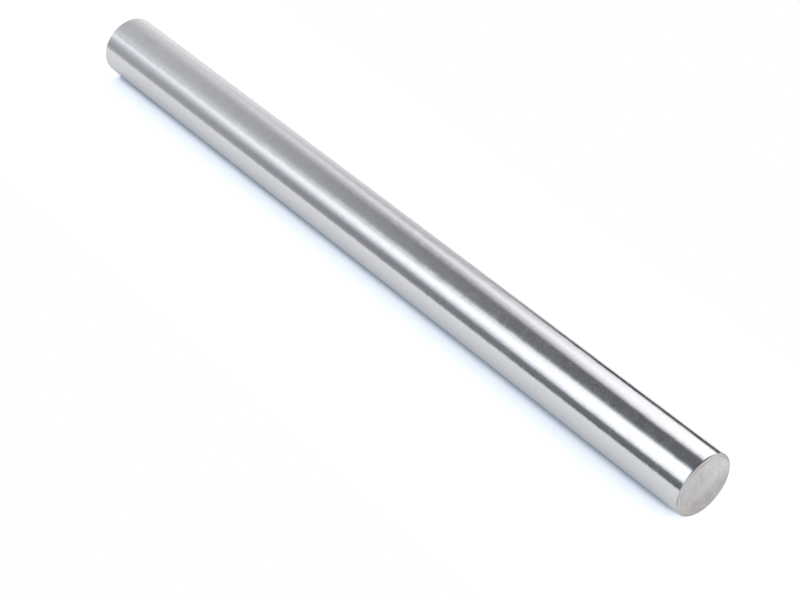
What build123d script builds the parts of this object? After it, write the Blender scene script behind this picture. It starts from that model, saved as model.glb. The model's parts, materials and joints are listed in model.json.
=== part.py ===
from build123d import *
import os

# A round bar of ground and hard-chromed steel stock, lying on its side.
# Millimetres, +Z up, +X along the bar. The origin is under the middle of the
# bar, on the surface that it lies on.

bar_diameter = 30.0   # ground and chromed outside diameter
bar_length = 400.0    # over the two faced ends
end_chamfer = 1.0     # 45 degree chamfer turned on both ends


def round_bar():
    """One solid bar: a cylinder with both of its edges chamfered."""
    side_radius = bar_diameter / 2
    face_radius = side_radius - end_chamfer
    end_x = bar_length / 2
    side_end_x = end_x - end_chamfer

    # Half of the bar's lengthwise section, turned about the bar's own axis.
    with BuildPart() as bar:
        with BuildSketch(Plane.XZ):
            with BuildLine():
                Polyline(
                    (-end_x, 0),
                    (-end_x, face_radius),
                    (-side_end_x, side_radius),
                    (side_end_x, side_radius),
                    (end_x, face_radius),
                    (end_x, 0),
                    close=True,
                )
            make_face()
        revolve(axis=Axis.X)

    # The bar lies with its lowest line on the surface at Z = 0.
    return Pos(0, 0, side_radius) * bar.part


os.makedirs("parts", exist_ok=True)
export_step(round_bar(), "parts/round_bar.step")
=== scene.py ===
import json
import math

import bmesh
import bpy
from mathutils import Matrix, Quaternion, Vector


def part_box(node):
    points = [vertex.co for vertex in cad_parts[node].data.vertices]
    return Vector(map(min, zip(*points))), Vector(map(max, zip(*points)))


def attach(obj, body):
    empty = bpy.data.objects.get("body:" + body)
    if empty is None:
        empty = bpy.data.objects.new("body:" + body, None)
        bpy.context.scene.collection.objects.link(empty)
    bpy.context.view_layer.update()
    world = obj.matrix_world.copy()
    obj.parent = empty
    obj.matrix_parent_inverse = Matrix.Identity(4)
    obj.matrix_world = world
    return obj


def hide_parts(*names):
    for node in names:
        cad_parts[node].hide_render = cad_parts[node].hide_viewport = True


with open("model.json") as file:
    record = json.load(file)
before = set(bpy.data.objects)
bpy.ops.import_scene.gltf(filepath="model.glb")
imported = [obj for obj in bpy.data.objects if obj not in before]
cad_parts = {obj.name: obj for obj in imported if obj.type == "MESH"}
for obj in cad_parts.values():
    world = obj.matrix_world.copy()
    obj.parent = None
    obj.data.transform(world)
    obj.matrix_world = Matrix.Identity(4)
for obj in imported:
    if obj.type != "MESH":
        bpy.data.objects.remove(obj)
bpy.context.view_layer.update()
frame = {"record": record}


# ---- The round bar ---------------------------------------------------------
# One piece of ground and hard-chromed steel shaft. It was cut from long stock,
# then both ends were faced and chamfered on a lathe, so the ends are bare steel.

MM = 0.001

_, bar_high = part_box("round_bar")
mounts = {mount["name"]: mount for mount in frame["record"]["mounts"]}
ground_side = mounts["ground_diameter"]
axis_height = ground_side["pos_m"][2]
side_radius = ground_side["dims"]["r_mm"] * MM
side_half_length = ground_side["dims"]["length_mm"] * MM / 2
end_x = bar_high.x             # the bar's middle is at x = 0
chamfer = end_x - side_half_length
face_radius = side_radius - chamfer

facets_around = 240            # the bar is turned in this many facets, too narrow to see
edge_break = 0.10 * MM         # radius that deburring leaves on each turned edge
edge_steps = 4                 # straight steps that make up that small arc
facing_feed = 0.50 * MM        # spacing of the rings that the facing tool left
facing_depth = 0.008 * MM      # depth of the deepest ring
facing_unevenness = 0.35       # the other rings are shallower by up to twice this share
slow_chatter = 0.7             # radians a ring of the two waves that vary the depth
fast_chatter = 2.4
ring_steps = 4                 # points from one ring to the next
plain_rim = 3 * edge_break     # the rings end at least this far inside the edge of the face
torn_centre_radius = 0.50 * MM
torn_centre_depth = 0.08 * MM  # the tool stopped short of the middle and tore it
torn_centre_bend = 0.6         # share of its radius and depth where its wall bends


def face_depth(radius):
    """How far the faced end lies under its highest ridges, ring by ring."""
    ring = radius / facing_feed
    chatter = math.sin(fast_chatter * math.floor(ring)) * math.cos(slow_chatter * math.floor(ring))
    uneven = 1 - facing_unevenness + facing_unevenness * chatter
    scallop = 0.5 - 0.5 * math.cos(2 * math.pi * ring)
    return facing_depth * uneven * scallop


def broken_edge(before, corner, after):
    """The arc that breaks the edge at a corner of the outline, with a point on each straight beside it."""
    corner = Vector(corner)
    into = (Vector(before) - corner).normalized()
    out = (Vector(after) - corner).normalized()
    half = into.angle(out) / 2
    reach = edge_break / math.tan(half)
    middle = corner + (into + out).normalized() * edge_break / math.sin(half)
    start = corner + into * reach
    end = corner + out * reach
    arm = start - middle
    turn = math.copysign(math.pi - 2 * half, arm.cross(end - middle))
    points = [corner + into * reach * 2]
    for step in range(edge_steps + 1):
        angle = turn * step / edge_steps
        points.append(middle + Vector((
            arm.x * math.cos(angle) - arm.y * math.sin(angle),
            arm.x * math.sin(angle) + arm.y * math.cos(angle))))
    points.append(corner + out * reach * 2)
    return [tuple(point) for point in points]


# The outline of one half of the bar, as (distance from the middle, radius),
# from the middle of the end face outwards to the ground side.
outline = [
    (end_x - torn_centre_depth, 0.0),
    (end_x - torn_centre_depth * torn_centre_bend, torn_centre_radius * torn_centre_bend),
]
first_ring = math.ceil(torn_centre_radius / facing_feed)
last_ring = math.floor((face_radius - plain_rim) / facing_feed)
for step in range(first_ring * ring_steps, last_ring * ring_steps + 1):
    radius = step * facing_feed / ring_steps
    outline.append((end_x - face_depth(radius), radius))
face_points = len(outline)
face_edge = (end_x, face_radius)
side_edge = (side_half_length, side_radius)
outline += broken_edge((end_x, 0), face_edge, side_edge)
outline += broken_edge(face_edge, side_edge, (0, side_radius))
half_points = len(outline)

# The finish of each strip between two points of the outline, by its number in the
# list of materials below. The broken edges are bare, as the chamfer between them is.
ground, turned, faced = range(3)
end_finishes = [faced] * face_points + [turned] * (half_points - 1 - face_points)
finishes = end_finishes + [ground] + end_finishes[::-1]
outline += [(-x, radius) for x, radius in reversed(outline)]


def lathe(name, outline, finishes):
    """Turns an outline about the bar's axis. Its first and last points lie on the axis."""
    mesh = bmesh.new()
    rings = []
    for x, radius in outline:
        if radius == 0:
            rings.append([mesh.verts.new((x, 0, axis_height))])
            continue
        ring = []
        for facet in range(facets_around):
            angle = 2 * math.pi * facet / facets_around
            ring.append(mesh.verts.new((
                x, radius * math.cos(angle), axis_height + radius * math.sin(angle))))
        rings.append(ring)
    for ring, next_ring, finish in zip(rings, rings[1:], finishes):
        for facet in range(facets_around):
            after = (facet + 1) % facets_around
            corners = [ring[facet % len(ring)], ring[after % len(ring)],
                       next_ring[after % len(next_ring)], next_ring[facet % len(next_ring)]]
            # On the axis two corners are one and the same, and the facet is a triangle.
            face = mesh.faces.new(list(dict.fromkeys(corners)))
            face.smooth = True
            face.material_index = finish
    bmesh.ops.recalc_face_normals(mesh, faces=mesh.faces)
    made = bpy.data.meshes.new(name)
    mesh.to_mesh(made)
    mesh.free()
    piece = bpy.data.objects.new(name, made)
    bpy.context.scene.collection.objects.link(piece)
    return piece


bar = lathe("chromed_round_bar", outline, finishes)


def linear(hex_colour):
    """An sRGB hex colour as the linear RGBA that the shaders take."""
    channels = [int(hex_colour[i:i + 2], 16) / 255 for i in (1, 3, 5)]
    return [c / 12.92 if c <= 0.04045 else ((c + 0.055) / 1.055) ** 2.4 for c in channels] + [1.0]


def add(tree, kind, settings=None, stops=(), **inputs):
    """Adds a node with its settings, its colour stops and its inputs.

    An input takes a value or another node's output. It goes by its name, with _ for
    a space, or by _ and its number where the node has more than one of that name.
    """
    node = tree.nodes.new(kind)
    for name, value in (settings or {}).items():
        setattr(node, name, value)
    for index, (spot, colour) in enumerate(stops):
        elements = node.color_ramp.elements
        # A new ramp has two stops already.
        stop = elements[index] if index < 2 else elements.new(spot)
        stop.position = spot
        stop.color = linear(colour)
    for name, value in inputs.items():
        number = name[1:]
        socket = node.inputs[int(number) if number.isdigit() else name.replace("_", " ")]
        if isinstance(value, bpy.types.NodeSocket):
            tree.links.new(value, socket)
        else:
            socket.default_value = value
    return node


def metal(name):
    """A new metal: the material, its node tree, its shader and the place of each point on the bar."""
    material = bpy.data.materials.new(name)
    material.use_nodes = True
    tree = material.node_tree
    shader = tree.nodes["Principled BSDF"]
    shader.inputs["Metallic"].default_value = 1.0
    place = add(tree, "ShaderNodeTexCoord").outputs["Object"]
    # The tool marks run round the bar, so light spreads across them.
    around = add(tree, "ShaderNodeTangent", {"direction_type": "RADIAL", "axis": "X"})
    tree.links.new(around.outputs["Tangent"], shader.inputs["Tangent"])
    shader.inputs["Anisotropic Rotation"].default_value = 0.25
    return material, tree, shader, place


# Hard chrome, ground and polished: a near-mirror with a cool cast. Fine grinding
# lines run round the bar and blur its reflections, mostly along the bar.
hard_chrome, tree, shader, place = metal("hard_chrome_ground")
grind_spacing = 0.5 * MM     # real lines are 0.02 mm apart; drawn coarser so that some show
grind_length = 8 * MM        # how far one line runs before its tone changes
cloud_size = 5 * MM          # patches where the polish is a little duller
pit_size = 0.35 * MM         # real pits are about 0.05 mm; drawn larger so that they show as a fine grain
pit_dulling = 0.22           # roughness that the deepest pits add
waver_slope = 0.04           # the side is round to a few microns; drawn steeper so that it shows
waver_of_lines = 0.6         # the lines' share of that slope, where the clouds' is 1

stretched = add(tree, "ShaderNodeVectorMath", {"operation": "MULTIPLY"},
                _0=place, _1=(1 / grind_spacing, 1 / grind_length, 1 / grind_length))
lines = add(tree, "ShaderNodeTexNoise", Vector=stretched.outputs[0], Scale=1.0, Detail=2.0, Roughness=0.6)
clouds = add(tree, "ShaderNodeTexNoise", Vector=place, Scale=1 / cloud_size, Detail=5.0, Roughness=0.6)
tone = add(tree, "ShaderNodeMix", {"data_type": "RGBA"},
           Factor=lines.outputs["Fac"], A=linear("#ECECEE"), B=linear("#FAFAFB"))
tree.links.new(tone.outputs["Result"], shader.inputs["Base Color"])

haze = add(tree, "ShaderNodeMapRange", Value=clouds.outputs["Fac"],
           From_Min=0.35, From_Max=0.7, To_Min=0.09, To_Max=0.16)
pits = add(tree, "ShaderNodeTexNoise", Vector=place, Scale=1 / pit_size, Detail=1.0, Roughness=0.5)
specks = add(tree, "ShaderNodeMapRange", Value=pits.outputs["Fac"], From_Min=0.5, From_Max=0.8)
pitted = add(tree, "ShaderNodeMath", {"operation": "MULTIPLY_ADD"},
             _0=specks.outputs["Result"], _1=pit_dulling, _2=haze.outputs["Result"])
tree.links.new(pitted.outputs[0], shader.inputs["Roughness"])
shader.inputs["Anisotropic"].default_value = 0.8

# The side isn't perfectly round, so a straight reflection in it wavers a little.
uneven = add(tree, "ShaderNodeMath", {"operation": "MULTIPLY_ADD"},
             _0=lines.outputs["Fac"], _1=waver_of_lines, _2=clouds.outputs["Fac"])
waver = add(tree, "ShaderNodeMapRange", Value=uneven.outputs[0],
            From_Max=1 + waver_of_lines, To_Min=-waver_slope, To_Max=waver_slope)
around = shader.inputs["Tangent"].links[0].from_socket
lean = add(tree, "ShaderNodeVectorMath", {"operation": "SCALE"},
           _0=around, Scale=waver.outputs["Result"])
upright = add(tree, "ShaderNodeNewGeometry").outputs["Normal"]
leaning = add(tree, "ShaderNodeVectorMath", {"operation": "ADD"}, _0=upright, _1=lean.outputs[0])
facing = add(tree, "ShaderNodeVectorMath", {"operation": "NORMALIZE"}, _0=leaning.outputs[0])
tree.links.new(facing.outputs[0], shader.inputs["Normal"])


def from_axis(tree, place):
    """The way from the bar's axis to each point, and how long that way is."""
    offset = add(tree, "ShaderNodeVectorMath", {"operation": "SUBTRACT"},
                 _0=place, _1=(0, 0, axis_height))
    across = add(tree, "ShaderNodeVectorMath", {"operation": "MULTIPLY"},
                 _0=offset.outputs[0], _1=(0, 1, 1))
    distance = add(tree, "ShaderNodeVectorMath", {"operation": "LENGTH"}, _0=across.outputs[0])
    return across.outputs[0], distance.outputs["Value"]


edge_shade_begins = 0.45 * MM       # the painted line of edge shade begins this far inside a turned edge
edge_shade_is_full = 0.15 * MM      # and is at its darkest from here outwards
edge_shade_patch = 20 * MM          # length of the stretches of edge where it is darkest
edge_shade_elsewhere = 0.15         # share of it that is left between them


def painted_edge_shade(tree, place, distance, edge_radius):
    """How dark the painted shade line just inside a turned edge is, in patches round the bar."""
    edge_band = add(tree, "ShaderNodeMapRange", Value=distance,
               From_Min=edge_radius - edge_shade_begins, From_Max=edge_radius - edge_shade_is_full)
    # W picks one pattern of patches out of many, as it does for the painted sheen clouds below.
    patches = add(tree, "ShaderNodeTexNoise", {"noise_dimensions": "4D"},
                  Vector=place, W=6.0, Scale=1 / edge_shade_patch, Detail=1.0)
    edge_shade_share = add(tree, "ShaderNodeMapRange", Value=patches.outputs["Fac"],
              From_Min=0.48, From_Max=0.58, To_Min=edge_shade_elsewhere)
    edge_darkness = add(tree, "ShaderNodeMath", {"operation": "MULTIPLY"},
               _0=edge_band.outputs["Result"], _1=edge_shade_share.outputs["Result"])
    return edge_darkness.outputs[0]


# Bare bright steel, turned: the chamfers and their broken edges, a dull grey with
# a fine dark line of painted shade, in patches, where they cut the chrome. They shine less than the faces
# do.
turned_steel, tree, shader, place = metal("turned_bright_steel")
_, distance = from_axis(tree, place)
tone = add(tree, "ShaderNodeMix", {"data_type": "RGBA"},
           Factor=painted_edge_shade(tree, place, distance, side_radius), A=linear("#F2F1F0"), B=linear("#7E7F82"))
tree.links.new(tone.outputs["Result"], shader.inputs["Base Color"])
shader.inputs["Specular Tint"].default_value = linear("#A0A0A0")
shader.inputs["Roughness"].default_value = 0.65
shader.inputs["Anisotropic"].default_value = 0.2

# Bare bright steel, faced: satin, with painted sheen and shade in large clouds, and rings
# about the middle where the tool passed. The rings spread its sheen into a fan.
faced_steel, tree, shader, place = metal("faced_bright_steel")
across, distance = from_axis(tree, place)
shown_feed = 0.7 * MM        # real feed marks are 0.5 mm apart; drawn coarser so that some show
change_round = 3.0           # how fast a ring's tone changes on its way round
# The next two values size and weigh the clouds of painted sheen and shade on the face.
sheen_cloud_size = 24 * MM
sheen_cloud_weight = 1.3           # the painted sheen clouds' share of the tone, where the rings' is 1

turned_to = add(tree, "ShaderNodeVectorMath", {"operation": "NORMALIZE"}, _0=across)
ring = add(tree, "ShaderNodeMath", {"operation": "DIVIDE"}, _0=distance, _1=shown_feed)
outwards = add(tree, "ShaderNodeCombineXYZ", X=ring.outputs[0])
swept = add(tree, "ShaderNodeVectorMath", {"operation": "MULTIPLY_ADD"},
            _0=turned_to.outputs[0], _1=(1, change_round, change_round), _2=outwards.outputs[0])
rings = add(tree, "ShaderNodeTexNoise", Vector=swept.outputs[0], Scale=1.0, Detail=3.0, Roughness=0.75)
# Painted sheen and shade: large soft clouds that make parts of the face lighter or darker.
painted_sheen_clouds = add(tree, "ShaderNodeTexNoise", {"noise_dimensions": "4D"},
             Vector=place, W=81.9, Scale=1 / sheen_cloud_size, Detail=2.0, Roughness=0.5)
rings_and_sheen = add(tree, "ShaderNodeMath", {"operation": "MULTIPLY_ADD"},
            _0=painted_sheen_clouds.outputs["Fac"], _1=sheen_cloud_weight, _2=rings.outputs["Fac"])
crisp = add(tree, "ShaderNodeMapRange", Value=rings_and_sheen.outputs[0], From_Min=0.75, From_Max=1.53)
tone = add(tree, "ShaderNodeMix", {"data_type": "RGBA"},
           Factor=crisp.outputs["Result"], A=linear("#BEB9B6"), B=linear("#FFFCFA"))
# Painted shade: a dark line just inside the edge of the face, in patches round it.
edged = add(tree, "ShaderNodeMix", {"data_type": "RGBA"},
            Factor=painted_edge_shade(tree, place, distance, face_radius),
            A=tone.outputs["Result"], B=linear("#767271"))
tree.links.new(edged.outputs["Result"], shader.inputs["Base Color"])
shader.inputs["Roughness"].default_value = 0.34
shader.inputs["Anisotropic"].default_value = 0.9
relief = add(tree, "ShaderNodeBump", Height=rings.outputs["Fac"], Strength=0.5, Distance=0.03 * MM)
tree.links.new(relief.outputs["Normal"], shader.inputs["Normal"])

for material in (hard_chrome, turned_steel, faced_steel):
    bar.data.materials.append(material)
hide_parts("round_bar")
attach(bar, "root")


# ---- The floor -------------------------------------------------------------
# A white studio table top: one flat sheet of matt paper that the bar lies on. It
# is white to the camera and pale in the metal, with a soft shade near the bar.

paper_past_ends = 220 * MM
paper_past_side = 85 * MM
shade_reach = 50 * MM          # the bar shades the paper up to this far away
light_side = (0.8, 0.5, 1.0)   # the shade is drawn as if the light came from here

paper_x = end_x + paper_past_ends
paper_y = side_radius + paper_past_side
paper_corners = [(-paper_x, -paper_y, 0), (paper_x, -paper_y, 0),
                 (paper_x, paper_y, 0), (-paper_x, paper_y, 0)]
table_top = bpy.data.meshes.new("table_top")
table_top.from_pydata(paper_corners, [], [(0, 1, 2, 3)])
floor = bpy.data.objects.new("table_top", table_top)
bpy.context.scene.collection.objects.link(floor)

# White paper, matt: it has no highlight. Its shade runs from near black under the
# bar through a cool blue grey to white.
white_paper = bpy.data.materials.new("white_paper")
white_paper.use_nodes = True
tree = white_paper.node_tree
tree.nodes.clear()
paper = add(tree, "ShaderNodeBsdfDiffuse", Color=linear("#8E9094"))
seen = add(tree, "ShaderNodeLightPath")
lit_from = add(tree, "ShaderNodeVectorMath", {"operation": "NORMALIZE"}, _0=light_side)
openness = add(tree, "ShaderNodeAmbientOcclusion", {"samples": 48},
               Distance=shade_reach, Normal=lit_from.outputs["Vector"])
shade = add(tree, "ShaderNodeValToRGB", Fac=openness.outputs["AO"], stops=[
    (0.0, "#050607"), (0.15, "#14171C"), (0.24, "#4A5260"), (0.275, "#BAC5D3"), (0.34, "#D8E1EC"),
    (0.45, "#E6EDF5"), (0.65, "#FFFFFF")])
# To the camera the open paper is full white. In the metal it is a pale grey, darker near the bar.
room_light = add(tree, "ShaderNodeMapRange", Value=openness.outputs["AO"], To_Min=0.35, To_Max=0.57)
in_metal = add(tree, "ShaderNodeMath", {"operation": "MULTIPLY"},
               _0=seen.outputs["Is Glossy Ray"], _1=room_light.outputs["Result"])
lift = add(tree, "ShaderNodeMath", {"operation": "MAXIMUM"},
           _0=seen.outputs["Is Camera Ray"], _1=in_metal.outputs[0])
glow = add(tree, "ShaderNodeEmission", Color=shade.outputs["Color"], Strength=lift.outputs[0])
glowing_paper = add(tree, "ShaderNodeAddShader", _0=paper.outputs[0], _1=glow.outputs[0])
add(tree, "ShaderNodeOutputMaterial", Surface=glowing_paper.outputs[0])
floor.data.materials.append(white_paper)


# ---- The studio light ------------------------------------------------------
# Two long soft boxes lie along the bar, one each side, with the dark ceiling
# between them, and pale walls close the room beyond the ends of the bar.

# The shades of the room on the way round the bar, by degrees: 0 is level on its +Y
# side, 90 overhead and 180 level on its -Y side, with a minus sign below level.
beside_the_bar = [
    (-180, "#585A5E"), (-174, "#585A5E"), (-166, "#E4E8EE"), (-27, "#D4D4D4"), (-21, "#989898"),
    (-16, "#303032"), (-2, "#1C1C1E"), (5, "#B2B2B6"), (11, "#F8F8F9"), (56.5, "#FFFFFF"), (65, "#DADADC"),
    (72, "#636467"), (78, "#55565A"), (107.5, "#585A5E"), (113.5, "#90969A"), (118.5, "#EAF2F4"),
    (122, "#FFFFFF"), (154, "#FAFCFF"), (160, "#E0E6EA"), (167, "#606266"), (180, "#585A5E")]
at_the_box_ends = [
    (-180, "#5C5E62"), (-174, "#5C5E62"), (-166, "#E4E8EE"), (-27, "#D2D2D2"), (-22, "#88888A"),
    (-17, "#242426"), (-3, "#141416"), (4, "#B0B0B4"), (9, "#CECED1"), (16, "#D6D6D9"), (24, "#E4E4E7"),
    (32, "#F4F4F6"), (40, "#F2F2F4"), (49, "#D6D6DA"), (57, "#B6B6BA"), (65, "#8A8B8F"), (72, "#5C5D60"),
    (81, "#505256"), (107, "#505256"), (114.5, "#888E92"), (119.5, "#DCE4E8"), (124, "#F8FAFC"),
    (130, "#FFFFFF"), (150, "#FAFCFF"), (160, "#D4DADE"), (167, "#66686C"), (180, "#5C5E62")]
past_the_boxes = [
    (-180, "#6E7076"), (-172, "#7A7C82"), (-160, "#E4E8EE"), (-40, "#E6E6E6"), (-9, "#BEBEC0"),
    (8, "#909094"), (21, "#ABABB1"), (35, "#D8D8E0"), (50, "#9E9EA4"), (61, "#7C7C80"), (71, "#6A6B6D"),
    (106, "#74757A"), (112, "#7E8084"), (119, "#A6AAAF"), (126, "#BEC4C9"), (133, "#FCFDFE"),
    (147, "#FCFDFE"), (156, "#B8BCC4"), (164, "#74767C"), (180, "#6E7076")]
end_walls = [
    (-180, "#94969A"), (-170, "#A6A8AC"), (-160, "#E0E2E6"), (-40, "#ECECEC"), (-9, "#DEDEDE"),
    (0, "#DADADA"), (21, "#C1C1C2"), (41, "#B5B5B8"), (61, "#AEAFB2"), (95, "#B4B5B7"), (107, "#BABCBE"),
    (115, "#BEC1C4"), (127, "#BCBFC2"), (139, "#DADDE2"), (147, "#B6B9BF"), (158, "#A0A2A6"),
    (180, "#94969A")]

# Where each part of the room gives way to the next, from 0 square to the bar to 1
# end on. The boxes stand a little towards the bar's right end.
gives_way_at = (0.62, 0.665, 0.715, 0.85)
boxes_middle = 0.15

world = bpy.data.worlds.new("studio")
bpy.context.scene.world = world
world.use_nodes = True
tree = world.node_tree
tree.nodes.clear()
towards = add(tree, "ShaderNodeTexCoord").outputs["Generated"]
way = add(tree, "ShaderNodeSeparateXYZ", Vector=towards)
turn = add(tree, "ShaderNodeMath", {"operation": "ARCTAN2"}, _0=way.outputs["Z"], _1=way.outputs["Y"])
angle = add(tree, "ShaderNodeMapRange", Value=turn.outputs[0], From_Min=-math.pi, From_Max=math.pi)
from_boxes = add(tree, "ShaderNodeMath", {"operation": "SUBTRACT"}, _0=way.outputs["X"], _1=boxes_middle)
end_on = add(tree, "ShaderNodeMath", {"operation": "ABSOLUTE"}, _0=from_boxes.outputs[0])

shades = []
for stops in (beside_the_bar, at_the_box_ends, past_the_boxes, end_walls):
    ramp = add(tree, "ShaderNodeValToRGB", Fac=angle.outputs["Result"],
               stops=[((degrees + 180) / 360, colour) for degrees, colour in stops])
    shades.append(ramp.outputs["Color"])
room = shades[0]
for start, end, beyond in zip(gives_way_at, gives_way_at[1:], shades[1:]):
    passed = add(tree, "ShaderNodeMapRange", Value=end_on.outputs[0], From_Min=start, From_Max=end)
    mixed = add(tree, "ShaderNodeMix", {"data_type": "RGBA"},
                Factor=passed.outputs["Result"], A=room, B=beyond)
    room = mixed.outputs["Result"]

# The camera sees plain white instead of the room.
studio = add(tree, "ShaderNodeBackground", Color=room, Strength=1.2)
white = add(tree, "ShaderNodeBackground", Color=linear("#FFFFFF"), Strength=1.0)
seen = add(tree, "ShaderNodeLightPath")
backdrop = add(tree, "ShaderNodeMixShader",
               _0=seen.outputs["Is Camera Ray"], _1=studio.outputs[0], _2=white.outputs[0])
add(tree, "ShaderNodeOutputWorld", Surface=backdrop.outputs[0])


# ---- The camera ------------------------------------------------------------
# It stands off the right-hand end and looks down along the bar, a little rolled,
# through a long lens that keeps the sides of the bar nearly parallel.

camera_azimuth = math.radians(48.4)
camera_elevation = math.radians(39.4)
camera_roll = math.radians(2.68)
camera_aim = Vector((24.4, -9.35, 0)) * MM
camera_distance = 940.4 * MM

lens = bpy.data.cameras.new("camera")
lens.lens = 95.2
lens.sensor_width = 36
lens.clip_start = 10 * MM
camera = bpy.data.objects.new("camera", lens)
bpy.context.scene.collection.objects.link(camera)
back = Vector((
    math.sin(camera_azimuth) * math.cos(camera_elevation),
    -math.cos(camera_azimuth) * math.cos(camera_elevation),
    math.sin(camera_elevation)))
camera.location = camera_aim + back * camera_distance
camera.rotation_mode = "QUATERNION"
camera.rotation_quaternion = (-back).to_track_quat("-Z", "Y") @ Quaternion((0, 0, 1), camera_roll)
bpy.context.scene.camera = camera
bpy.context.scene.view_settings.view_transform = "Standard"
